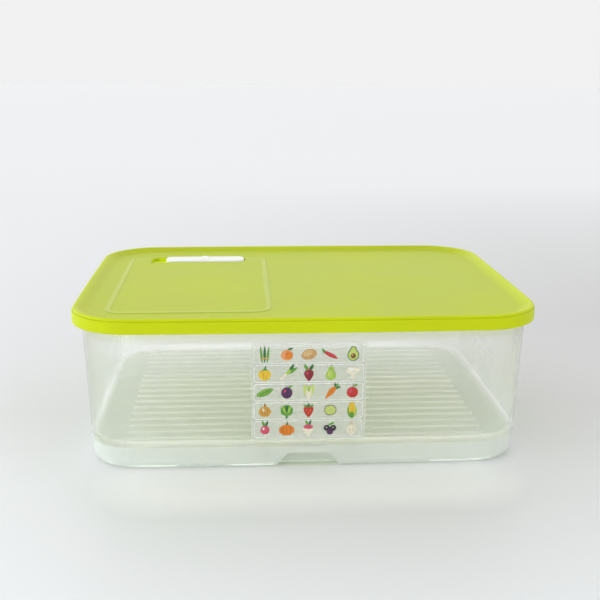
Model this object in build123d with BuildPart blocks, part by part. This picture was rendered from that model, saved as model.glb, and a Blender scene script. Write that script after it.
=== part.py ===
import os

from build123d import *

# A stacking kitchen bin with a vented snap-on lid. Millimetres, +Z up, the front towards -Y.
# The origin is on the table, under the middle of the lid.

# Plan of the lid, which every other outline follows
lid_length = 380.0
lid_width = 292.0
lid_corner_radius = 50.0
side_bow = 2.5
end_bow = 0.9
total_height = 130.0

# Tub
wall = 2.0
wall_lean = 0.042
rim_inset = 6.4
floor_height = 20.0
floor_thickness = 2.2
floor_corner = 6.0
foot_radius = 7.0
foot_lip = 2.0
flange_height = 4.0
flange_edge = 0.8

# Ribs on the floor of the tub
rib_end_gap = 27.0
rib_side_gap = 14.0
rib_pitch = 14.5
rib_width = 3.2
rib_height = 1.8
rib_edge = 0.8

# Finger notch in the front foot
notch_width = 56.0
notch_top_width = 33.0
notch_height = 13.5
notch_depth = 12.0
notch_corner = 3.0

# Printed film on the front wall
print_width = 92.0
print_above_floor = 4.5
print_below_skirt = 9.5
print_thickness = 0.25
print_bond = 0.06
print_corner = 2.0

# Lid
skirt_height = 12.0
skirt_outset = 0.9
skirt_wall = 2.0
skirt_edge = 0.6
bead_height = 1.7
bead_edge = 1.4
bead_crest = 2.6
bead_hollow_width = 3.9
bead_hollow_height = 2.6
crease_height = 0.6
crease_inset = 0.2
panel_drop = 3.8
panel_thickness = 1.6
panel_cove = 10.0
plug_wall = 1.6
plug_depth = 3.0
rim_clearance = 0.5
plug_clearance = 0.4

# Raised line on the lid's panel, a U open to the rear
field_length = 131.4
field_front_gap = 35.7
field_rear_gap = 46.1
ridge_width = 4.4
ridge_height = 0.5
ridge_corner = 12.0
ridge_edge = 0.45

# Vent: pocket in the panel, holes, and the slot for the slider's leg
vent_left_gap = 47.3
vent_rear_gap = 50.7
pocket_depth = 3.2
pocket_wall = 1.6
pocket_edge = 1.2
vent_travel = 14.0
slider_length = 78.0
slider_width = 20.0
slider_corner = 6.5
slider_proud = 1.2
slider_wall = 1.6
slider_edge = 0.8
slider_end_clearance = 0.8
slider_side_clearance = 0.5
slider_lift = 0.15
thumb_length = 7.0
thumb_width = 15.0
thumb_height = 1.2
thumb_edge = 1.1
vent_hole_diameter = 6.0
vent_hole_spacing = 54.0
scoop_radius = 9.0
scoop_depth = 0.5
scoop_forward = 16.3

# Pads, leg and keeper under the slider
pad_length = 13.0
pad_width = 9.0
pad_thickness = 1.4
leg_length = 12.0
leg_width = 5.0
leg_clearance = 0.6
keeper_length = 20.0
keeper_width = 12.0
keeper_thickness = 1.5
keeper_clearance = 0.3
keeper_corner = 2.0
window_clearance = 0.1
barb_reach = 0.8
barb_height = 1.2

# Heights and places that follow from the sizes above
skirt_bottom = total_height - skirt_height
panel_top = total_height - panel_drop
panel_bottom = panel_top - panel_thickness
rim_height = panel_bottom
plug_bottom = panel_bottom - plug_depth
crease_top = total_height - bead_height
crease_bottom = crease_top - crease_height
groove_outer_inset = skirt_wall - skirt_outset
hollow_inset = groove_outer_inset + bead_hollow_width
hollow_top = rim_height + bead_hollow_height
flange_inset = groove_outer_inset + rim_clearance
floor_bottom = floor_height - floor_thickness
plug_outer_inset = rim_inset + (rim_height - plug_bottom) * wall_lean + wall + plug_clearance
plug_inner_inset = plug_outer_inset + plug_wall

pocket_length = slider_length + vent_travel + 2 * slider_end_clearance
pocket_width = slider_width + 2 * slider_side_clearance
pocket_corner = slider_corner + slider_side_clearance
pocket_floor = panel_top - pocket_depth
pocket_bottom = pocket_floor - pocket_wall
pocket_x = -lid_length / 2 + vent_left_gap + pocket_length / 2
pocket_y = lid_width / 2 - vent_rear_gap
slider_x = pocket_x + vent_travel / 2
slider_bottom = pocket_floor + slider_lift
slider_top = panel_top + slider_proud
slider_roof = slider_top - slider_wall
pad_top = slider_bottom + pad_thickness
keeper_top = pocket_bottom - keeper_clearance
keeper_bottom = keeper_top - keeper_thickness
field_front = -lid_width / 2 + field_front_gap
field_rear = lid_width / 2 - field_rear_gap
ridge_top = panel_top + ridge_height
print_low = floor_height + print_above_floor
print_high = skirt_bottom - print_below_skirt
floor_inset = rim_inset + (rim_height - floor_height) * wall_lean + wall
rib_length = lid_length - 2 * (floor_inset + rib_end_gap)
rib_count = int((lid_width - 2 * (floor_inset + rib_side_gap)) / rib_pitch) + 1
rib_top = floor_height + rib_height


def wall_inset(height):
    """How far the tub's outer wall lies inside the lid's outline at a height."""
    return rim_inset + (rim_height - height) * wall_lean


def plan(inset):
    """The lid's outline, drawn in by an inset: four bowed sides with round corners."""
    half_length = lid_length / 2 - inset
    half_width = lid_width / 2 - inset
    corner_x = half_length - end_bow
    corner_y = half_width - side_bow
    with BuildSketch() as outline:
        with BuildLine():
            ThreePointArc((-corner_x, -corner_y), (0, -half_width), (corner_x, -corner_y))
            ThreePointArc((corner_x, -corner_y), (half_length, 0), (corner_x, corner_y))
            ThreePointArc((corner_x, corner_y), (0, half_width), (-corner_x, corner_y))
            ThreePointArc((-corner_x, corner_y), (-half_length, 0), (-corner_x, -corner_y))
        make_face()
        fillet(outline.vertices(), lid_corner_radius - inset)
    return outline.sketch


def slab(inset, low, high):
    """A straight-sided block on the lid's plan."""
    with BuildPart() as block:
        with BuildSketch(Plane.XY.offset(low)):
            add(plan(inset))
        extrude(amount=high - low)
    return block.part


def leaning_block(low_inset, low, high_inset, high):
    """A block on the lid's plan whose sides lean from one inset to another."""
    with BuildPart() as block:
        with BuildSketch(Plane.XY.offset(low)):
            add(plan(low_inset))
        with BuildSketch(Plane.XY.offset(high)):
            add(plan(high_inset))
        loft()
    return block.part


def tub_block(depth, low, high, bottom_radius):
    """A block whose sides run parallel to the tub's outer wall, at a depth inside it."""
    with BuildPart() as block:
        add(leaning_block(wall_inset(low) + depth, low, wall_inset(high) + depth, high))
        if bottom_radius > 0:
            fillet(block.faces().sort_by(Axis.Z)[0].edges(), bottom_radius)
    return block.part


def notch_profile(grow):
    """The notch seen from the front, a trapezoid on the table, grown by a wall."""
    with BuildSketch() as profile:
        with BuildLine():
            Polyline(
                (-notch_width / 2 - grow, 0),
                (-notch_top_width / 2 - grow, notch_height + grow),
                (notch_top_width / 2 + grow, notch_height + grow),
                (notch_width / 2 + grow, 0),
                close=True,
            )
        make_face()
        fillet(profile.vertices().group_by(Axis.Y)[-1], notch_corner)
    return profile.sketch


# Outer form of the tub, from the table to the rim
tub_form = tub_block(0, 0, rim_height, foot_radius)

# Walls round the finger notch, inside the foot and up to the floor
notch_back = lid_width / 2 - wall_inset(0) - notch_depth
with BuildPart() as notch_walls:
    with BuildSketch(Plane.XZ.offset(notch_back - wall)):
        add(notch_profile(wall))
        with Locations((0, (notch_height + floor_height) / 2)):
            Rectangle(notch_top_width, floor_height - notch_height)
    extrude(amount=notch_depth + wall / 2)
    add(tub_form, mode=Mode.INTERSECT)

with BuildPart() as bin_body:
    add(tub_form)
    # Flange round the rim, under the lid's roof
    with BuildSketch(Plane.XY.offset(rim_height - flange_height)):
        add(plan(flange_inset))
    extrude(amount=flange_height)
    fillet(bin_body.faces().sort_by(Axis.Z)[-1].edges(), flange_edge)
    # Inside, down to the raised floor
    add(tub_block(wall, floor_height, rim_height, floor_corner), mode=Mode.SUBTRACT)
    # Hollow foot under the floor, open at the bottom inside its lip
    add(tub_block(wall, wall, floor_bottom, foot_radius - wall), mode=Mode.SUBTRACT)
    add(slab(wall_inset(0) + foot_radius + foot_lip, 0, wall), mode=Mode.SUBTRACT)
    # Finger notch
    add(notch_walls.part)
    with BuildSketch(Plane.XZ.offset(notch_back)):
        add(notch_profile(0))
    extrude(amount=notch_depth + wall, mode=Mode.SUBTRACT)
    # Ribs along the floor
    with BuildSketch(Plane.XY.offset(floor_height)):
        with GridLocations(0, rib_pitch, 1, rib_count):
            SlotOverall(rib_length, rib_width)
    extrude(amount=rib_height)
    rib_edges = bin_body.edges().filter_by_position(Axis.Z, rib_top, rib_top)
    fillet(rib_edges, rib_edge)
bin_body.part.label = "bin_body"

# Film on the front wall, following its lean and its bow
with BuildPart() as produce_print:
    add(tub_block(-print_bond - print_thickness, 0, rim_height, 0))
    add(tub_block(-print_bond, 0, rim_height, 0), mode=Mode.SUBTRACT)
    with BuildSketch(Plane.XZ):
        with Locations((0, (print_low + print_high) / 2)):
            RectangleRounded(print_width, print_high - print_low, print_corner)
    extrude(amount=lid_width, mode=Mode.INTERSECT)
produce_print.part.label = "produce_print"

with BuildPart() as lid:
    # Skirt, crease and rounded bead
    add(slab(-skirt_outset, skirt_bottom, crease_bottom))
    fillet(lid.faces().sort_by(Axis.Z)[-1].edges(), skirt_edge)
    fillet(lid.faces().sort_by(Axis.Z)[0].edges(), skirt_edge)
    add(slab(crease_inset, crease_bottom, crease_top))
    add(slab(0, crease_top, total_height))
    # Channel for the tub's rim, with the hollow of the bead over its outer half
    add(slab(groove_outer_inset, skirt_bottom, hollow_top), mode=Mode.SUBTRACT)
    add(slab(hollow_inset, rim_height, total_height))
    # Plug wall, inside the tub's rim
    add(slab(plug_outer_inset, plug_bottom, rim_height))
    add(slab(plug_inner_inset, plug_bottom, panel_bottom), mode=Mode.SUBTRACT)
    # Sunken panel, with a slope and a cove up to the bead
    add(leaning_block(plug_inner_inset, panel_top, bead_crest, total_height), mode=Mode.SUBTRACT)
    fillet(lid.faces().filter_by(Axis.Z).sort_by(Axis.Z)[-1].edges(), bead_edge)
    panel_edges = lid.edges().filter_by_position(Axis.Z, panel_top, panel_top)
    fillet(panel_edges, panel_cove)
    # U-shaped ridge round the writing field
    with BuildSketch(Plane.XY.offset(panel_top)):
        with BuildLine() as ridge_path:
            Polyline(
                (pocket_x - field_length / 2, field_rear),
                (pocket_x - field_length / 2, field_front),
                (pocket_x + field_length / 2, field_front),
                (pocket_x + field_length / 2, field_rear),
            )
            fillet(ridge_path.vertices().group_by(Axis.Y)[0], ridge_corner)
        trace(line_width=ridge_width)
    extrude(amount=ridge_height)
    ridge_edges = lid.edges().filter_by_position(Axis.Z, ridge_top, ridge_top)
    fillet(ridge_edges, ridge_edge)
    # Vent pocket, hanging under the panel
    with BuildSketch(Plane.XY.offset(pocket_bottom)):
        with Locations((pocket_x, pocket_y)):
            RectangleRounded(
                pocket_length + 2 * pocket_wall,
                pocket_width + 2 * pocket_wall,
                pocket_corner + pocket_wall,
            )
    extrude(amount=panel_bottom - pocket_bottom)
    with BuildSketch(Plane.XY.offset(pocket_floor)):
        with Locations((pocket_x, pocket_y)):
            RectangleRounded(pocket_length, pocket_width, pocket_corner)
    extrude(amount=pocket_depth, mode=Mode.SUBTRACT)
    fillet(lid.edges(Select.LAST).group_by(Axis.Z)[-1], pocket_edge)
    # Round scoop for a fingertip beside the pocket's free end
    with BuildSketch(Plane.XY.offset(panel_top - scoop_depth)):
        with Locations((pocket_x - pocket_length / 2 + scoop_radius, pocket_y - scoop_forward)):
            Circle(scoop_radius)
    extrude(amount=scoop_depth, mode=Mode.SUBTRACT)
    # Two vent holes and the slot for the slider's leg
    with BuildSketch(Plane.XY.offset(pocket_bottom)):
        with Locations((slider_x, pocket_y)):
            with GridLocations(vent_hole_spacing, 0, 2, 1):
                Circle(vent_hole_diameter / 2)
        with Locations((pocket_x, pocket_y)):
            Rectangle(leg_length + vent_travel + 2 * leg_clearance, leg_width + 2 * leg_clearance)
    extrude(amount=pocket_wall, mode=Mode.SUBTRACT)
lid.part.label = "lid"

with BuildPart() as vent_slider:
    with BuildSketch(Plane.XY.offset(slider_bottom)):
        with Locations((slider_x, pocket_y)):
            RectangleRounded(slider_length, slider_width, slider_corner)
    extrude(amount=slider_top - slider_bottom)
    fillet(vent_slider.faces().sort_by(Axis.Z)[-1].edges(), slider_edge)
    with BuildSketch(Plane.XY.offset(slider_top)):
        with Locations((slider_x, pocket_y)):
            Rectangle(thumb_length, thumb_width)
    extrude(amount=thumb_height)
    fillet(vent_slider.faces().sort_by(Axis.Z)[-1].edges(), thumb_edge)
    # Hollow underside, with a seat for each pad
    with BuildSketch(Plane.XY.offset(slider_bottom)):
        with Locations((slider_x, pocket_y)):
            RectangleRounded(
                slider_length - 2 * slider_wall,
                slider_width - 2 * slider_wall,
                slider_corner - slider_wall,
            )
    extrude(amount=slider_roof - slider_bottom, mode=Mode.SUBTRACT)
    with BuildSketch(Plane.XY.offset(pad_top)):
        with Locations((slider_x, pocket_y)):
            with GridLocations(vent_hole_spacing, 0, 2, 1):
                SlotOverall(pad_length, pad_width)
    extrude(amount=slider_roof - pad_top)
    # Leg down through the lid, with a barb under the keeper
    with BuildSketch(Plane.XY.offset(keeper_bottom)):
        with Locations((slider_x, pocket_y)):
            Rectangle(leg_length, leg_width)
    extrude(amount=slider_roof - keeper_bottom)
    with BuildSketch(Plane.XY.offset(keeper_bottom - barb_height)):
        with Locations((slider_x, pocket_y)):
            Rectangle(leg_length + 2 * barb_reach, leg_width)
    extrude(amount=barb_height)
vent_slider.part.label = "vent_slider"

with BuildPart() as vent_seal_pads:
    with BuildSketch(Plane.XY.offset(slider_bottom)):
        with Locations((slider_x, pocket_y)):
            with GridLocations(vent_hole_spacing, 0, 2, 1):
                SlotOverall(pad_length, pad_width)
    extrude(amount=pad_thickness)
vent_seal_pads.part.label = "vent_seal_pads"

with BuildPart() as vent_keeper:
    with BuildSketch(Plane.XY.offset(keeper_bottom)):
        with Locations((slider_x, pocket_y)):
            RectangleRounded(keeper_length, keeper_width, keeper_corner)
            Rectangle(
                leg_length + 2 * window_clearance,
                leg_width + 2 * window_clearance,
                mode=Mode.SUBTRACT,
            )
    extrude(amount=keeper_thickness)
vent_keeper.part.label = "vent_keeper"

os.makedirs("parts", exist_ok=True)
export_step(bin_body.part, "parts/bin_body.step")
export_step(produce_print.part, "parts/produce_print.step")
export_step(lid.part, "parts/lid.step")
export_step(vent_slider.part, "parts/vent_slider.step")
export_step(vent_seal_pads.part, "parts/vent_seal_pads.step")
export_step(vent_keeper.part, "parts/vent_keeper.step")
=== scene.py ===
import math

import bpy
from mathutils import Matrix, Vector


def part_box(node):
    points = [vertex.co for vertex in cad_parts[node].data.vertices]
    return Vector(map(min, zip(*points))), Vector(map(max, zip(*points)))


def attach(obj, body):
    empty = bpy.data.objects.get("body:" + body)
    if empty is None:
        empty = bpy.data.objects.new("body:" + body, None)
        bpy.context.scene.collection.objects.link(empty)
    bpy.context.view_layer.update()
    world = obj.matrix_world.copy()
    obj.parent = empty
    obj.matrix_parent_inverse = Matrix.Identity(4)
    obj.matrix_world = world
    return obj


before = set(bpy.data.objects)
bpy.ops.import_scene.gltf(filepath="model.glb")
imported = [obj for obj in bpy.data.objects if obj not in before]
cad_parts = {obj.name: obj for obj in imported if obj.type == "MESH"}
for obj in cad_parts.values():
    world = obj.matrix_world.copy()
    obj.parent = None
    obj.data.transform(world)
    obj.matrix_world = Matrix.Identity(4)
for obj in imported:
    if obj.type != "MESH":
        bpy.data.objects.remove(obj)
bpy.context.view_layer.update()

scene = bpy.context.scene
mm = 0.001
white = (1, 1, 1, 1)
noiseSpan = (0.3, 0.7)      # where most of a noise pattern's values lie
tall = 10                   # metres, more than the height of anything here


def colour(hexText):
    # screen colour to the linear one that shaders want
    channels = [int(hexText[i:i + 2], 16) / 255 for i in (0, 2, 4)]
    linear = [c / 12.92 if c < 0.04 else ((c + 0.055) / 1.055) ** 2.4 for c in channels]
    return (*linear, 1)


def startMaterial(name, **sockets):
    mat = bpy.data.materials.new(name)
    mat.use_nodes = True
    shader = mat.node_tree.nodes["Principled BSDF"]
    for socket, value in sockets.items():
        shader.inputs[socket.replace("_", " ")].default_value = value
    return mat, mat.node_tree, shader


def addNode(tree, kind, inputs, **settings):
    node = tree.nodes.new(kind)
    for name, value in settings.items():
        setattr(node, name, value)
    for name, value in inputs.items():
        if isinstance(value, bpy.types.NodeSocket):
            tree.links.new(value, node.inputs[name])
        else:
            node.inputs[name].default_value = value
    return node


def objectPlace(tree):
    return addNode(tree, "ShaderNodeTexCoord", {}).outputs["Object"]


def mixColour(tree, factor, first, second):
    return addNode(tree, "ShaderNodeMix", {0: factor, 6: first, 7: second}, data_type="RGBA").outputs[2]


def mixShader(tree, factor, first, second):
    return addNode(tree, "ShaderNodeMixShader", {0: factor, 1: first, 2: second}).outputs[0]


def remap(tree, value, low, high, newLow, newHigh):
    ends = {"Value": value, "From Min": low, "From Max": high, "To Min": newLow, "To Max": newHigh}
    return addNode(tree, "ShaderNodeMapRange", ends).outputs["Result"]


def maths(tree, operation, first, second):
    return addNode(tree, "ShaderNodeMath", {0: first, 1: second}, operation=operation).outputs[0]


def vectorMaths(tree, operation, *inputs):
    return addNode(tree, "ShaderNodeVectorMath", dict(enumerate(inputs)), operation=operation)


def axesOf(tree, place):
    return addNode(tree, "ShaderNodeSeparateXYZ", {0: place}).outputs


def facingAway(tree, blend):
    # nothing for a face seen square on, rising to 1 along its surface
    return addNode(tree, "ShaderNodeLayerWeight", {"Blend": blend}).outputs["Facing"]


def outOfBox(tree, place, middle, half, corner):
    # distance outside a round-cornered box, less than nothing inside it
    reach = (half[0] - corner, half[1] - corner, tall)
    flat = vectorMaths(tree, "SUBTRACT", place, (*middle, 0)).outputs[0]
    folded = vectorMaths(tree, "ABSOLUTE", flat).outputs[0]
    past = vectorMaths(tree, "SUBTRACT", folded, reach).outputs[0]
    outside = vectorMaths(tree, "MAXIMUM", past, (0, 0, 0)).outputs[0]
    cornerRun = vectorMaths(tree, "LENGTH", outside).outputs["Value"]
    axes = axesOf(tree, past)
    inner = maths(tree, "MINIMUM", maths(tree, "MAXIMUM", axes["X"], axes["Y"]), 0.0)
    return maths(tree, "SUBTRACT", maths(tree, "ADD", cornerRun, inner), corner)


def mottle(tree, place, scale, detail=3.0):
    pattern = {"Vector": place, "Scale": scale, "Detail": detail}
    return addNode(tree, "ShaderNodeTexNoise", pattern).outputs["Fac"]


def grain(tree, shader, height, depth):
    bump = addNode(tree, "ShaderNodeBump", {"Height": height, "Distance": depth, "Strength": 1.0})
    tree.links.new(bump.outputs["Normal"], shader.inputs["Normal"])


def dress(nodeName, mat):
    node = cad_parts[nodeName]
    node.data.materials.clear()
    node.data.materials.append(mat)


# camera, a little left of the middle and looking down on the lid
camera = {
    "place": (-0.0531, -0.8443, 0.3233),
    "headingDeg": -3.70,
    "downDeg": 14.33,
    "rollDeg": 0.32,
    "lensMm": 56.4,
    "sensorMm": 36.0,
    "clip": (0.01, 20.0),
}


def makeCamera():
    data = bpy.data.cameras.new("camera")
    data.lens = camera["lensMm"]
    data.sensor_width = camera["sensorMm"]
    data.sensor_fit = "HORIZONTAL"
    data.clip_start, data.clip_end = camera["clip"]
    eye = bpy.data.objects.new("camera", data)
    scene.collection.objects.link(eye)
    turn = Matrix.Rotation(math.radians(camera["headingDeg"]), 4, "Z")
    turn = turn @ Matrix.Rotation(math.radians(90.0 - camera["downDeg"]), 4, "X")
    turn = turn @ Matrix.Rotation(math.radians(camera["rollDeg"]), 4, "Z")
    eye.matrix_world = Matrix.Translation(camera["place"]) @ turn
    scene.camera = eye


# tub: thin milky polypropylene, hazier towards the thick floor and tinted greener towards the bottom, with
# painted lime light near the lid and painted shade on the ribbed floor
tub = {
    "rimTint": "FEFCFD",
    "footTint": "F6FBF6",
    "tintTop": 0.110,               # height where the foot's tint begins
    "tintBottom": 0.022,            # and where it is full
    "floorTint": "FEFDFE",
    "floorTop": 0.0255,
    "floorSoft": 0.001,
    "footTop": (0.0185, 0.0205),    # height where the foot ends and the floor begins
    "ribbedShadeTint": "FEFEFD",          # the ribbed part of the floor, with painted shade of the lid's shadow over it
    "ribbedShadeClear": "FFFFFE",
    "fieldMiddle": (0, -0.042),
    "fieldHalf": (0.152, 0.080),
    "fieldCorner": 0.012,
    "fieldSoft": 0.010,
    "limeLightClear": "F9FBEE",           # painted lime light from the lid, on the wall close to it
    "limeLightHeight": (0.108, 0.114),      # height where that begins and is full
    "faceHaze": 0.10,               # share of light that each face of a wall stops, seen square on
    "edgeHaze": 0.46,               # and seen along its surface
    "hazeBlend": 0.35,
    "hazePatch": 16.0,              # noise scale, patches of about 60 mm
    "hazeSpread": 0.12,
    "rearHaze": 0.20,               # the floor's rear
    "floorHaze": 0.62,              # and its front
    "milkEnd": (0.060, 0.020),      # y where the front's haze begins and is full
    "footHaze": 0.35,               # added where the wall stands below the floor
    "glow": (0.25, 0.95),           # share of the haze that is lit from behind, foot and above
    "gloss": (0.04, 0.9),           # share mirrored square on, and along the surface
    "glossBlend": 0.5,
    "glossPower": 5.0,
    "glossRoughness": 0.22,
    "footGloss": 0.25,              # how much of the gloss the foot keeps
    "floorGloss": 0.4,              # and the floor
    "roughness": 0.22,
    "ior": 1.7,
    "rippleScale": 30.0,            # moulded ripples of about 3 cm
    "rippleDetail": 1.0,
    "rippleDepth": 0.0001,
}


def tubMaterial():
    mat, tree, shader = startMaterial("milkyPolypropylene", Roughness=tub["roughness"], IOR=tub["ior"])
    place = objectPlace(tree)
    spot = axesOf(tree, place)
    depth, height = spot["Y"], spot["Z"]

    # where the foot, the floor and the floor's ribbed part are
    aboveFoot = remap(tree, height, *tub["footTop"], 0.0, 1.0)
    belowTop = remap(tree, height, tub["floorTop"], tub["floorTop"] - tub["floorSoft"], 0.0, 1.0)
    onFloor = maths(tree, "MULTIPLY", belowTop, aboveFoot)
    # the ribbed part of the floor; its front also carries painted shade where the lid's shadow falls
    gap = outOfBox(tree, place, tub["fieldMiddle"], tub["fieldHalf"], tub["fieldCorner"])
    inField = remap(tree, gap, tub["fieldSoft"], -tub["fieldSoft"], 0.0, 1.0)
    onRibbedShade = maths(tree, "MULTIPLY", inField, onFloor)

    lowness = remap(tree, height, tub["tintTop"], tub["tintBottom"], 0.0, 1.0)
    tint = mixColour(tree, lowness, colour(tub["rimTint"]), colour(tub["footTint"]))
    tint = mixColour(tree, onFloor, tint, colour(tub["floorTint"]))
    # painted shade on the ribbed part of the floor
    tint = mixColour(tree, onRibbedShade, tint, colour(tub["ribbedShadeTint"]))
    tree.links.new(tint, shader.inputs["Base Color"])
    ripples = mottle(tree, place, tub["rippleScale"], tub["rippleDetail"])
    grain(tree, shader, ripples, tub["rippleDepth"])

    wallHaze = remap(tree, facingAway(tree, tub["hazeBlend"]), 0.0, 1.0, tub["faceHaze"], tub["edgeHaze"])
    forward = remap(tree, depth, *tub["milkEnd"], 0.0, 1.0)
    floorHaze = remap(tree, forward, 0.0, 1.0, tub["rearHaze"], tub["floorHaze"])
    haze = remap(tree, onFloor, 0.0, 1.0, wallHaze, floorHaze)
    patches = mottle(tree, place, tub["hazePatch"])
    patchy = remap(tree, patches, *noiseSpan, 1.0 - tub["hazeSpread"], 1.0 + tub["hazeSpread"])
    atFoot = remap(tree, aboveFoot, 0.0, 1.0, tub["footHaze"], 0.0)
    haze = maths(tree, "ADD", maths(tree, "MULTIPLY", haze, patchy), atFoot)

    # clear plastic, the milk in it, and the polish on it
    # painted lime light from the lid on the wall near the rim
    atRim = remap(tree, height, *tub["limeLightHeight"], 0.0, 1.0)
    through = mixColour(tree, atRim, white, colour(tub["limeLightClear"]))
    # painted shade on the ribbed part of the floor
    through = mixColour(tree, onRibbedShade, through, colour(tub["ribbedShadeClear"]))
    clear = addNode(tree, "ShaderNodeBsdfTransparent", {"Color": through}).outputs[0]
    lit = addNode(tree, "ShaderNodeBsdfTranslucent", {"Color": tint}).outputs[0]
    glow = remap(tree, aboveFoot, 0.0, 1.0, *tub["glow"])
    wall = mixShader(tree, haze, clear, mixShader(tree, glow, shader.outputs[0], lit))
    gloss = addNode(tree, "ShaderNodeBsdfAnisotropic", {"Roughness": tub["glossRoughness"]}).outputs[0]
    grazing = maths(tree, "POWER", facingAway(tree, tub["glossBlend"]), tub["glossPower"])
    mirrored = remap(tree, grazing, 0.0, 1.0, *tub["gloss"])
    mirrored = maths(tree, "MULTIPLY", mirrored, remap(tree, aboveFoot, 0.0, 1.0, tub["footGloss"], 1.0))
    mirrored = maths(tree, "MULTIPLY", mirrored, remap(tree, onFloor, 0.0, 1.0, 1.0, tub["floorGloss"]))
    polished = mixShader(tree, mirrored, wall, gloss)
    tree.links.new(polished, tree.nodes["Material Output"].inputs["Surface"])
    return mat


# lid: satin lime polyethylene, with painted shade over the tub's hollow; the raised line round the writing
# field is paler, a painted sheen
lid = {
    "lime": "C8D50A",                 # where the wall stands behind it
    "hollowShadeLime": "BCC91E",             # painted shade over the hollow of the tub
    "hollowShadeHalf": (0.1853, 0.1413),
    "hollowShadeCorner": 0.045,
    "hollowShadeSoft": 0.002,
    "panelTop": 0.1262,
    "pocketLime": "DDEE14",           # in the slider's pocket, which takes light from below
    "pocketRun": 0.014,
    "pocketMargin": (0.002, 0.001),
    "pocketCorner": 0.010,
    "pocketSoft": 0.0005,
    "pocketSink": (0.0004, 0.0012),   # depth under the panel where that colour begins and is full
    # painted sheen on the raised line
    "ridgeSheenLime": "C3CF5A",
    "fieldMiddle": (-0.0959, -0.0052),
    "fieldHalf": (0.0657, 0.1051),
    "fieldCorner": 0.012,
    "fieldRear": 0.0999,
    "lineHalf": 0.0024,
    "lineSoft": 0.0012,
    "lineFoot": 0.0003,               # how far under the panel's face the line may still start
    "patchScale": 11.0,
    "patch": 0.94,                    # how dark the darker patches go
    "roughness": (0.36, 0.44),
    "grainScale": 900.0,
    "grainDetail": 2.0,
    "grainDepth": 0.00006,
    "ior": 1.25,
    "bleed": 0.18,                    # share of light that spreads inside the plastic
    "bleedReach": 0.004,
    "bleedTone": (1.0, 1.0, 0.25),
}


def ridgeMask(tree, place):
    # how near a point lies to the U-shaped line, 1 on it and 0 off it
    gap = outOfBox(tree, place, lid["fieldMiddle"], lid["fieldHalf"], lid["fieldCorner"])
    fromLine = maths(tree, "ABSOLUTE", gap, 0.0)
    half, soft = lid["lineHalf"], lid["lineSoft"]
    onLine = remap(tree, fromLine, half + soft, half - soft, 0.0, 1.0)
    spot = axesOf(tree, place)
    beforeEnd = maths(tree, "LESS_THAN", spot["Y"], lid["fieldRear"])
    onTop = maths(tree, "GREATER_THAN", spot["Z"], lid["panelTop"] - lid["lineFoot"])
    return maths(tree, "MULTIPLY", onLine, maths(tree, "MULTIPLY", beforeEnd, onTop))


def pocketMask(tree, place):
    # 1 on the floor of the slider's pocket, over the slider's whole run
    low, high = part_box("vent_slider")
    middle = ((low[0] + high[0] - lid["pocketRun"]) / 2, (low[1] + high[1]) / 2)
    half = [high[axis] - middle[axis] + lid["pocketMargin"][axis] for axis in (0, 1)]
    begin, full = [lid["panelTop"] - sink for sink in lid["pocketSink"]]
    sunk = remap(tree, axesOf(tree, place)["Z"], begin, full, 0.0, 1.0)
    gap = outOfBox(tree, place, middle, half, lid["pocketCorner"])
    return remap(tree, gap, 0.0, -lid["pocketSoft"], 0.0, sunk)


def lidMaterial():
    mat, tree, shader = startMaterial("limePolyethylene", IOR=lid["ior"], Subsurface_Weight=lid["bleed"])
    shader.inputs["Subsurface Radius"].default_value = lid["bleedTone"]
    shader.inputs["Subsurface Scale"].default_value = lid["bleedReach"]
    place = objectPlace(tree)
    patches = mottle(tree, place, lid["patchScale"])
    # painted shade over the tub's hollow, lighter where the wall stands behind
    beyond = outOfBox(tree, place, (0, 0), lid["hollowShadeHalf"], lid["hollowShadeCorner"])
    backed = remap(tree, beyond, -lid["hollowShadeSoft"], lid["hollowShadeSoft"], 0.0, 1.0)
    plain = mixColour(tree, backed, colour(lid["hollowShadeLime"]), colour(lid["lime"]))
    plain = mixColour(tree, pocketMask(tree, place), plain, colour(lid["pocketLime"]))
    # painted sheen on the raised line
    ridgeSheened = mixColour(tree, ridgeMask(tree, place), plain, colour(lid["ridgeSheenLime"]))
    shade = remap(tree, patches, *noiseSpan, lid["patch"], 1.0)
    finished = addNode(tree, "ShaderNodeVectorMath", {0: ridgeSheened, 3: shade}, operation="SCALE").outputs[0]
    tree.links.new(finished, shader.inputs["Base Color"])
    satin = remap(tree, patches, *noiseSpan, *lid["roughness"])
    tree.links.new(satin, shader.inputs["Roughness"])
    grain(tree, shader, mottle(tree, place, lid["grainScale"], lid["grainDetail"]), lid["grainDepth"])
    return mat


# vent: white sliding plate, with its pads and keeper underneath
vent = {
    "white": "FCFCFB",
    "shade": "F6F5F2",
    "roughness": 0.22,
    "padGrey": "B9BAB4",
    "padDark": "A8A9A3",
    "padRoughness": 0.7,
    "ior": 1.6,
    "patchScale": 60.0,
    "grainScale": 700.0,
    "grainDetail": 2.0,
    "grainDepth": 0.00004,
}


def plasticMaterial(name, light, dark, roughness):
    mat, tree, shader = startMaterial(name, Roughness=roughness, IOR=vent["ior"])
    place = objectPlace(tree)
    blend = mixColour(tree, mottle(tree, place, vent["patchScale"]), colour(dark), colour(light))
    tree.links.new(blend, shader.inputs["Base Color"])
    grain(tree, shader, mottle(tree, place, vent["grainScale"], vent["grainDetail"]), vent["grainDepth"])
    return mat


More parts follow.
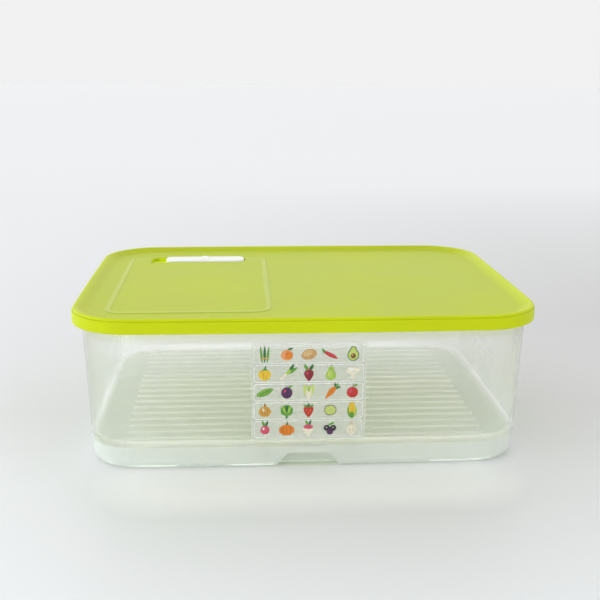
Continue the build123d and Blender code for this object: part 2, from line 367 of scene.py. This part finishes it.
# printed film on the front wall: a clear carrier with rows of small produce
film = {
    "clear": "E9ECE0",
    "cloud": "E3E7D9",
    "cloudScale": 40.0,
    "haze": (0.30, 0.60),       # share of light that it stops, seen square on and along its surface
    "hazeBlend": 0.3,
    "roughness": 0.16,
    "ior": 1.5,
    "columns": 5,
    "rows": 5,
    "margin": 2.2,              # mm from the film's edge to the cells
    "gap": 1.2,                 # mm between the outlined rows
    "lineWidth": 0.6,
    "lineCorner": 2.4,
    "cornerSteps": 5,
    "sidePoints": 20,
    "motifPoints": 24,
    "inkLift": 0.02,            # mm from the film to the first ink
    "inkStep": 1.5,             # that much of it again for each layer of ink on top
    "inkThickness": 0.02,
    "inkDeep": 0.72,            # how dark the darker specks in the ink go
    "inkGrain": 900.0,
    "inkDetail": 2.0,
    "inkSpan": (0.35, 0.65),
    "inkRoughness": 0.3,
    "pressFrom": -1,            # y in front of the bin from where the ink is pressed on the wall
}

inks = {
    "line": "F4F6F0", "cream": "F0EAD2", "creamShade": "D9CDA6", "potato": "CFA365",
    "potatoLight": "E0BE85", "brown": "7A5230", "orange": "E8861F", "orangeDark": "C9671A",
    "leaf": "5FA136", "leafDark": "2F7136",
    "leafLight": "A9CC55", "lime": "CBDD72", "gold": "D9A441", "goldDark": "B67F2B", "red": "C8362B",
    "redDark": "8E2230", "pink": "D8516C", "yellow": "F0CB2E", "plum": "5A2F5C", "night": "2C2A3B",
    "peach": "EFA368",
}

# each motif is a stack of shapes, first at the bottom:
# shape, ink, middle x and z, half length, half width, tilt in degrees, lobes for "lobed"
motifs = {
    "potato": [
        ("oval", "potato", 0, 0, 6.2, 4.3, 18), ("oval", "potatoLight", -1.0, 0.9, 4.0, 2.4, 20),
        ("oval", "brown", 2.2, -1.3, 0.5, 0.3, 10), ("oval", "brown", -2.6, -1.5, 0.4, 0.3, 0),
        ("oval", "brown", 0.6, 2.2, 0.4, 0.25, 30),
    ],
    "carrot": [
        ("leaf", "leafDark", 3.6, 5.2, 2.6, 0.8, 95), ("leaf", "leaf", 4.9, 4.8, 2.8, 0.9, 65),
        ("leaf", "leafDark", 5.9, 3.4, 2.5, 0.8, 30), ("root", "orange", -0.4, -1.2, 6.6, 2.5, 52),
        ("leaf", "orangeDark", 1.2, 0.2, 1.7, 0.25, 140), ("leaf", "orangeDark", -0.4, -1.5, 1.3, 0.2, 145),
    ],
    "peas": [
        ("leaf", "leaf", 0, 0, 7.4, 2.8, 24), ("leaf", "leafLight", 0, 0.3, 6.2, 1.8, 24),
        ("oval", "leaf", -3.2, -1.2, 1.2, 1.2, 0), ("oval", "leaf", -1.1, -0.3, 1.35, 1.35, 0),
        ("oval", "leaf", 1.3, 0.8, 1.35, 1.35, 0), ("oval", "leaf", 3.4, 1.8, 1.15, 1.15, 0),
    ],
    "onion": [
        ("leaf", "goldDark", 0, 4.4, 2.4, 0.9, 90), ("oval", "gold", 0, -0.6, 4.9, 4.4, 0),
        ("leaf", "goldDark", -2.2, -0.4, 4.1, 0.35, 98), ("leaf", "goldDark", 0, -0.4, 4.3, 0.3, 90),
        ("leaf", "goldDark", 2.2, -0.4, 4.1, 0.35, 82), ("oval", "cream", -1.2, 1.0, 0.9, 1.6, 20),
    ],
    "apple": [
        ("leaf", "brown", 0.5, 4.9, 1.8, 0.35, 75), ("leaf", "leaf", 2.4, 5.0, 1.9, 0.9, 20),
        ("lobed", "red", 0, -0.8, 4.9, 4.6, 90, 2), ("oval", "pink", -1.6, 0.6, 1.3, 2.0, -20),
    ],
    "mushroom": [
        ("oval", "cream", 0, -2.4, 1.7, 3.4, 0), ("oval", "creamShade", 0, 0.6, 4.7, 1.5, 0),
        ("oval", "cream", 0, 1.9, 5.4, 3.0, 0), ("oval", "line", -1.4, 2.9, 2.2, 1.0, 12),
    ],
    "pepper": [
        ("leaf", "leafDark", 0.4, 5.0, 1.8, 0.7, 80), ("lobed", "yellow", 0, -0.9, 4.8, 5.2, 90, 3),
        ("leaf", "gold", -1.4, -0.9, 4.2, 0.35, 96), ("leaf", "gold", 1.6, -0.9, 4.2, 0.35, 84),
        ("oval", "leaf", 0, 3.4, 2.0, 0.8, 0),
    ],
    "pear": [
        ("leaf", "brown", 0.3, 6.0, 1.3, 0.3, 80), ("oval", "leafLight", 0, -2.0, 4.3, 4.1, 0),
        ("oval", "leafLight", 0, 2.2, 2.5, 3.6, 0), ("oval", "lime", -1.2, -1.0, 1.6, 2.9, -8),
    ],
    "leek": [
        ("leaf", "leafDark", 3.4, 4.0, 4.6, 1.3, 62), ("leaf", "leaf", 4.4, 2.4, 4.6, 1.3, 34),
        ("oval", "leafLight", 0.6, 0.6, 3.6, 1.4, 45), ("oval", "cream", -2.8, -2.8, 3.8, 1.5, 45),
    ],
    "beetroot": [
        ("leaf", "leaf", -2.2, 4.9, 3.0, 1.3, 115), ("leaf", "leafDark", 2.0, 4.9, 3.0, 1.3, 66),
        ("leaf", "pink", 0, 2.8, 2.2, 0.5, 90), ("root", "redDark", 0, -2.0, 5.0, 4.2, 90),
        ("oval", "pink", -1.3, 0.2, 0.9, 1.2, -25),
    ],
    "corn": [
        ("leaf", "leaf", -2.0, -2.4, 5.0, 1.6, 104), ("leaf", "leafLight", 2.1, -2.4, 5.0, 1.6, 76),
        ("oval", "yellow", 0, 1.0, 2.6, 5.9, 0), ("leaf", "gold", -0.9, 1.0, 5.2, 0.2, 91),
        ("leaf", "gold", 0.9, 1.0, 5.2, 0.2, 89), ("leaf", "leaf", 0, -4.4, 3.2, 1.6, 90),
    ],
    "strawberry": [
        ("root", "red", 0, -1.0, 5.4, 4.3, 90), ("oval", "yellow", -1.6, 0.2, 0.3, 0.4, 0),
        ("oval", "yellow", 1.5, 0.0, 0.3, 0.4, 0), ("oval", "yellow", 0, -2.0, 0.3, 0.4, 0),
        ("leaf", "leaf", -2.0, 3.9, 2.3, 0.9, 160), ("leaf", "leaf", 2.0, 3.9, 2.3, 0.9, 20),
        ("leaf", "leafDark", 0, 4.6, 1.8, 0.9, 90),
    ],
    "avocado": [
        ("oval", "leafDark", 0, -1.0, 4.6, 5.0, 0), ("oval", "leafDark", 0, 2.0, 3.0, 4.4, 0),
        ("oval", "lime", 0, -1.0, 3.9, 4.3, 0), ("oval", "lime", 0, 1.9, 2.3, 3.7, 0),
        ("oval", "brown", 0, -1.7, 2.1, 2.2, 0), ("oval", "potato", -0.6, -1.0, 0.7, 0.9, 0),
    ],
    "radish": [
        ("leaf", "leaf", -1.2, 4.7, 3.0, 1.0, 108), ("leaf", "leafDark", 1.4, 4.7, 3.0, 1.0, 70),
        ("leaf", "cream", 0.4, -4.8, 2.4, 0.5, 82), ("oval", "pink", 0, -0.6, 3.7, 3.7, 0),
        ("oval", "line", -1.1, 0.6, 0.8, 1.1, 0),
    ],
    "asparagus": [
        ("leaf", "leaf", -2.6, 0, 7.0, 0.9, 96), ("leaf", "leafDark", 0, 0.4, 7.2, 1.0, 90),
        ("leaf", "leaf", 2.6, 0, 7.0, 0.9, 84), ("oval", "gold", 0, -2.8, 3.9, 0.6, 0),
    ],
    "plum": [
        ("leaf", "leaf", 2.6, 4.6, 2.2, 0.9, 25), ("oval", "plum", 0, -0.5, 4.5, 4.9, 0),
        ("leaf", "night", 0.9, -0.5, 4.4, 0.4, 84), ("oval", "pink", -1.6, 1.2, 0.7, 1.4, -15),
    ],
    "pumpkin": [
        ("oval", "leafDark", 0.4, 4.2, 0.8, 1.9, -15), ("lobed", "orange", 0, -0.9, 6.4, 4.9, 0, 8),
        ("leaf", "orangeDark", 0, -0.9, 4.6, 0.35, 90), ("leaf", "orangeDark", -2.9, -0.9, 4.2, 0.4, 98),
        ("leaf", "orangeDark", 2.9, -0.9, 4.2, 0.4, 82),
    ],
    "chicory": [
        ("leaf", "lime", -2.0, 0.4, 6.2, 2.0, 104), ("leaf", "lime", 2.0, 0.4, 6.2, 2.0, 76),
        ("leaf", "cream", 0, -0.4, 6.4, 2.4, 90), ("leaf", "leafLight", 0, 2.9, 2.8, 1.3, 90),
    ],
    "chilli": [
        ("leaf", "red", -0.6, -0.6, 6.6, 1.7, -28), ("leaf", "pink", -0.2, -0.2, 4.6, 0.4, -28),
        ("oval", "leaf", -6.0, 2.5, 1.0, 1.5, -28), ("leaf", "leafDark", -6.7, 3.8, 1.5, 0.4, 110),
    ],
    "garlic": [
        ("leaf", "creamShade", 0, 4.0, 3.0, 0.9, 90), ("lobed", "cream", 0, -1.4, 4.8, 4.0, 90, 3),
        ("leaf", "creamShade", -1.6, -1.2, 3.6, 0.3, 104), ("leaf", "creamShade", 1.6, -1.2, 3.6, 0.3, 76),
    ],
    "peach": [
        ("leaf", "leafDark", 2.6, 4.8, 2.3, 0.9, 15), ("oval", "peach", 0, -0.4, 4.8, 4.5, 0),
        ("oval", "orange", 1.6, -0.8, 2.8, 3.4, 0), ("leaf", "orangeDark", -0.4, 0.1, 4.0, 0.25, 80),
    ],
    "aubergineSlice": [
        ("oval", "plum", 0, 0, 4.9, 4.6, 0), ("oval", "lime", 0, 0, 4.3, 4.0, 0),
        ("oval", "creamShade", 1.4, 0.8, 0.4, 0.7, 40), ("oval", "creamShade", -1.5, 0.6, 0.4, 0.7, -40),
        ("oval", "creamShade", 0, -1.8, 0.4, 0.7, 90),
    ],
    "artichoke": [
        ("leaf", "leafDark", 0, -5.2, 2.2, 0.8, 90), ("lobed", "leaf", 0, 0.2, 5.0, 5.2, 90, 7),
        ("leaf", "leafLight", -1.9, 0.6, 3.4, 1.0, 112), ("leaf", "leafLight", 1.9, 0.6, 3.4, 1.0, 68),
        ("leaf", "leafDark", 0, 1.4, 3.6, 1.1, 90),
    ],
    "blueberries": [
        ("leaf", "leaf", 1.0, 4.0, 3.0, 1.0, 25), ("oval", "night", -2.5, 0.4, 2.6, 2.6, 0),
        ("oval", "night", 2.6, 0.2, 2.6, 2.6, 0), ("oval", "plum", 0, -3.0, 2.7, 2.6, 0),
        ("oval", "creamShade", -2.8, 0.9, 0.6, 0.5, 0), ("oval", "creamShade", 2.4, 0.8, 0.6, 0.5, 0),
    ],
    "turnip": [
        ("leaf", "leaf", -1.2, 5.0, 2.8, 0.9, 110), ("leaf", "leafDark", 1.2, 5.0, 2.8, 0.9, 70),
        ("root", "cream", 0, -1.8, 5.2, 4.6, 90), ("oval", "pink", 0, 1.6, 3.9, 1.9, 0),
    ],
}

motifOrder = [
    "asparagus", "peach", "potato", "chilli", "avocado",
    "pepper", "leek", "beetroot", "pear", "mushroom",
    "peas", "plum", "chicory", "carrot", "apple",
    "onion", "artichoke", "strawberry", "aubergineSlice", "corn",
    "radish", "pumpkin", "turnip", "blueberries", "garlic",
]


def filmMaterial():
    mat, tree, shader = startMaterial("clearFilm", Roughness=film["roughness"], IOR=film["ior"])
    clouds = mottle(tree, objectPlace(tree), film["cloudScale"])
    tint = mixColour(tree, clouds, colour(film["cloud"]), colour(film["clear"]))
    tree.links.new(tint, shader.inputs["Base Color"])
    haze = remap(tree, facingAway(tree, film["hazeBlend"]), 0.0, 1.0, *film["haze"])
    clear = addNode(tree, "ShaderNodeBsdfTransparent", {}).outputs[0]
    sheet = mixShader(tree, haze, clear, shader.outputs[0])
    tree.links.new(sheet, tree.nodes["Material Output"].inputs["Surface"])
    return mat


def inkMaterial(name):
    mat, tree, shader = startMaterial("ink_" + name, Roughness=film["inkRoughness"], IOR=film["ior"])
    base = colour(inks[name])
    deep = (*[channel * film["inkDeep"] for channel in base[:3]], 1)
    specks = mottle(tree, objectPlace(tree), film["inkGrain"], film["inkDetail"])
    specks = remap(tree, specks, *film["inkSpan"], 0.0, 1.0)
    tree.links.new(mixColour(tree, specks, deep, base), shader.inputs["Base Color"])
    return mat


# how the plain oval is bent into the other shapes
outline = {
    "leafPoint": 0.5,
    "rootShoulder": 1.25,       # a round shoulder and a pointed tip
    "rootPoint": 0.6,
    "lobeDepth": 0.07,
}


def outlineOf(shape, halfLength, halfWidth, lobes):
    ring = []
    for i in range(film["motifPoints"]):
        turn = 2 * math.pi * i / film["motifPoints"]
        along, across = math.cos(turn), math.sin(turn)
        if shape == "leaf":
            across *= abs(across) ** outline["leafPoint"]
        elif shape == "root":
            across *= outline["rootShoulder"] * ((1 + along) / 2) ** outline["rootPoint"]
        elif shape == "lobed":
            swell = 1 - outline["lobeDepth"] * (1 + math.cos(lobes * turn)) / 2
            along, across = along * swell, across * swell
        ring.append((along * halfLength, across * halfWidth))
    return ring


def layLoop(points, ring, middle, lift):
    # flat points in mm laid on the film as one loop; gives back their numbers
    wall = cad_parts["produce_print"]
    first = len(points)
    for x, z in ring:
        start = Vector(((middle[0] + x) * mm, film["pressFrom"], (middle[1] + z) * mm))
        found, place, normal, _ = wall.ray_cast(start, Vector((0, 1, 0)))
        if not found:
            raise RuntimeError("ink runs off the film")
        points.append(place + normal * lift * mm)
    return list(range(first, len(points)))


def bridge(mesh, near, far, inkIndex):
    for i in range(len(near)):
        j = (i + 1) % len(near)
        mesh["faces"].append((near[i], near[j], far[j], far[i]))
        mesh["inks"].append(inkIndex)


def pressOnWall(mesh, ring, middle, lift, inkIndex):
    # a thin closed chip of ink that follows the wall
    lower = layLoop(mesh["points"], ring, middle, lift)
    upper = layLoop(mesh["points"], ring, middle, lift + film["inkThickness"])
    mesh["faces"].extend((upper, lower[::-1]))
    mesh["inks"].extend((inkIndex, inkIndex))
    bridge(mesh, lower, upper, inkIndex)


def pressLine(mesh, outer, inner, middle, lift, inkIndex):
    # a thin closed band of ink between two rings
    top = lift + film["inkThickness"]
    course = ((outer, lift), (outer, top), (inner, top), (inner, lift))
    loops = [layLoop(mesh["points"], ring, middle, height) for ring, height in course]
    for near, far in zip(loops, loops[1:] + loops[:1]):
        bridge(mesh, near, far, inkIndex)


def tilted(ring, degrees):
    c, s = math.cos(math.radians(degrees)), math.sin(math.radians(degrees))
    return [(x * c - z * s, x * s + z * c) for x, z in ring]


def roundedCell(halfWidth, halfHeight, corner):
    ring = []
    for quarter, (sx, sz) in enumerate(((1, 1), (-1, 1), (-1, -1), (1, -1))):
        for step in range(film["cornerSteps"] + 1):
            angle = math.radians(90 * quarter + 90 * step / film["cornerSteps"])
            x = sx * (halfWidth - corner) + corner * math.cos(angle)
            z = sz * (halfHeight - corner) + corner * math.sin(angle)
            ring.append((x, z))
    full = []       # the sides get more points, to follow the wall
    for near, far in zip(ring, ring[1:] + ring[:1]):
        parts = film["sidePoints"] if math.dist(near, far) > film["lineCorner"] else 1
        for k in range(parts):
            full.append([near[axis] + (far[axis] - near[axis]) * k / parts for axis in (0, 1)])
    return full


def pieceFrom(name, mesh, materials, body):
    data = bpy.data.meshes.new(name)
    data.from_pydata([tuple(point) for point in mesh["points"]], [], mesh["faces"])
    for mat in materials:
        data.materials.append(mat)
    data.polygons.foreach_set("material_index", mesh["inks"])
    data.update()
    piece = bpy.data.objects.new(name, data)
    scene.collection.objects.link(piece)
    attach(piece, body)


def printProduce():
    low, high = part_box("produce_print")
    middleZ = (low[2] + high[2]) / 2 / mm
    cellWidth = ((high[0] - low[0]) / mm - 2 * film["margin"]) / film["columns"]
    cellHeight = ((high[2] - low[2]) / mm - 2 * film["margin"]) / film["rows"]
    inkNames = list(inks)
    produce = {"points": [], "faces": [], "inks": []}
    halfWidth, halfHeight = film["columns"] * cellWidth / 2, (cellHeight - film["gap"]) / 2
    inset, corner = film["lineWidth"], film["lineCorner"]
    for row in range(film["rows"]):
        z = middleZ + ((film["rows"] - 1) / 2 - row) * cellHeight
        outer = roundedCell(halfWidth, halfHeight, corner)
        inner = roundedCell(halfWidth - inset, halfHeight - inset, corner - inset)
        pressLine(produce, outer, inner, (0, z), film["inkLift"] / 2, inkNames.index("line"))
    for number, motif in enumerate(motifOrder):
        row, column = divmod(number, film["columns"])
        x = (column - (film["columns"] - 1) / 2) * cellWidth
        z = middleZ + ((film["rows"] - 1) / 2 - row) * cellHeight
        for layer, (shape, ink, dx, dz, a, b, tilt, *lobes) in enumerate(motifs[motif]):
            ring = tilted(outlineOf(shape, a, b, lobes[0] if lobes else 0), tilt)
            lift = film["inkLift"] * (1 + layer * film["inkStep"])
            pressOnWall(produce, ring, (x + dx, z + dz), lift, inkNames.index(ink))
    pieceFrom("printed_produce", produce, [inkMaterial(name) for name in inkNames], "bin")


# table top of matt white paper, with painted shadow behind and to the right of the bin, and painted light
# in front of it and under it
stage = {
    "half": 12.0,
    "paper": "E6E5E7",
    "roughness": 0.45,
    # painted light on the paper in front of the bin
    "frontLightPaper": "F2F3F4",
    "frontLightEnd": (0.0, -0.16),            # y where the painted light in front of the bin starts and is full
    "farPaper": "EBEBEC",
    "farEnd": (0.3, 2.2),               # y where the far tone starts and is full
    # painted shadow of the bin, behind it and to the right
    "shadowPaper": "CAC9C7",
    "shadowSide": (-0.45, 0.45),           # x where the painted shadow starts and is full
    "shadowDepth": (-0.60, 0.30, 1.6),     # y where it starts, is full and ends
    "underLightPaper": "FEFEFE",             # painted light on the paper below the tub, seen through its floor
    "underMiddle": (0, 0),
    "underHalf": (0.14, 0.185),
    "underCorner": 0.03,
    "underSoft": 0.035,
    "notchPaper": "D9E1CB",             # in the shade behind the foot's notch
    "notchMiddle": (0, -0.100),
    "notchHalf": (0.040, 0.028),
    "notchCorner": 0.008,
    "notchSoft": 0.004,
}


def makeStage():
    half = stage["half"]
    corners = [(-half, -half, 0), (half, -half, 0), (half, half, 0), (-half, half, 0)]
    data = bpy.data.meshes.new("table")
    data.from_pydata(corners, [], [(0, 1, 2, 3)])
    mat, tree, shader = startMaterial("paper", Roughness=stage["roughness"])
    place = objectPlace(tree)
    spot = axesOf(tree, place)
    across, depth = spot["X"], spot["Y"]
    # painted shadow of the bin, behind it and to the right
    begin, full, end = stage["shadowDepth"]
    rightward = remap(tree, across, *stage["shadowSide"], 0.0, 1.0)
    rising = remap(tree, depth, begin, full, 0.0, 1.0)
    falling = remap(tree, depth, end, full, 0.0, 1.0)
    dim = maths(tree, "MULTIPLY", rightward, maths(tree, "MINIMUM", rising, falling))
    # painted light on the paper in front of the bin
    near = remap(tree, depth, *stage["frontLightEnd"], 0.0, 1.0)
    far = remap(tree, depth, *stage["farEnd"], 0.0, 1.0)
    paint = mixColour(tree, near, colour(stage["paper"]), colour(stage["frontLightPaper"]))
    paint = mixColour(tree, far, paint, colour(stage["farPaper"]))
    paint = mixColour(tree, dim, paint, colour(stage["shadowPaper"]))
    # painted light on the paper under the tub, seen through its floor
    gap = outOfBox(tree, place, stage["underMiddle"], stage["underHalf"], stage["underCorner"])
    under = remap(tree, gap, stage["underSoft"], 0.0, 0.0, 1.0)
    paint = mixColour(tree, under, paint, colour(stage["underLightPaper"]))
    gap = outOfBox(tree, place, stage["notchMiddle"], stage["notchHalf"], stage["notchCorner"])
    shaded = remap(tree, gap, stage["notchSoft"], -stage["notchSoft"], 0.0, 1.0)
    paint = mixColour(tree, shaded, paint, colour(stage["notchPaper"]))
    tree.links.new(paint, shader.inputs["Base Color"])
    data.materials.append(mat)
    table = bpy.data.objects.new("table", data)
    scene.collection.objects.link(table)


# light tent: pale overhead and brighter round the sides, with one wide panel in front
lights = {
    "tentTop": 0.64,
    "tentFront": 1.17,
    "tentBack": 4.7,
    "tentLeft": 1.3,            # how much of the front and back light each side gets
    "tentRight": 0.6,
    "leftTone": "F7FCFF",
    "rightTone": "FFFEFD",
    "sideHeight": 0.75,         # sine of the angle above the table where the side light has faded
    "backdrop": 0.885,          # how bright the tent looks behind the table
    "panelPlace": (-1.2, -1.9, 0.6),
    "panelAim": (0, 0, 0.06),
    "panelSize": (2.0, 1.0),
    "panelWatts": 5.5,
}


def makeLights():
    data = bpy.data.lights.new("frontPanel", "AREA")
    data.shape = "RECTANGLE"
    data.size, data.size_y = lights["panelSize"]
    data.energy = lights["panelWatts"]
    panel = bpy.data.objects.new("frontPanel", data)
    panel.visible_camera = False
    scene.collection.objects.link(panel)
    panel.location = lights["panelPlace"]
    facing = Vector(lights["panelAim"]) - Vector(lights["panelPlace"])
    panel.rotation_euler = facing.to_track_quat("-Z", "Y").to_euler()

    world = bpy.data.worlds.new("tent")
    world.use_nodes = True
    tree = world.node_tree
    heading = axesOf(tree, addNode(tree, "ShaderNodeTexCoord", {}).outputs["Generated"])
    depth = remap(tree, heading["Y"], -1.0, 1.0, lights["tentFront"], lights["tentBack"])
    across = remap(tree, heading["X"], -1.0, 1.0, lights["tentLeft"], lights["tentRight"])
    side = maths(tree, "MULTIPLY", depth, across)
    height = remap(tree, heading["Z"], 0.0, lights["sideHeight"], 0.0, 1.0)
    glow = addNode(tree, "ShaderNodeMix", {0: height, 2: side, 3: lights["tentTop"]}).outputs[0]
    path = addNode(tree, "ShaderNodeLightPath", {})
    seen = maths(tree, "MAXIMUM", path.outputs["Is Camera Ray"], path.outputs["Is Glossy Ray"])
    strength = addNode(tree, "ShaderNodeMix", {0: seen, 2: glow, 3: lights["backdrop"]}).outputs[0]
    background = tree.nodes["Background"]
    rightward = remap(tree, heading["X"], -1.0, 1.0, 0.0, 1.0)
    tone = mixColour(tree, rightward, colour(lights["leftTone"]), colour(lights["rightTone"]))
    tree.links.new(mixColour(tree, seen, tone, white), background.inputs["Color"])
    tree.links.new(strength, background.inputs["Strength"])
    scene.world = world


makeCamera()
print("camera placed")
whitePlastic = plasticMaterial("whitePlastic", vent["white"], vent["shade"], vent["roughness"])
padElastomer = plasticMaterial("padElastomer", vent["padGrey"], vent["padDark"], vent["padRoughness"])
dress("bin_body", tubMaterial())
dress("lid", lidMaterial())
dress("vent_slider", whitePlastic)
dress("vent_keeper", whitePlastic)
dress("vent_seal_pads", padElastomer)
dress("produce_print", filmMaterial())
print("solids dressed")
printProduce()
print("produce printed")
makeStage()
makeLights()
scene.view_settings.view_transform = "Standard"
print("stage and lights set")
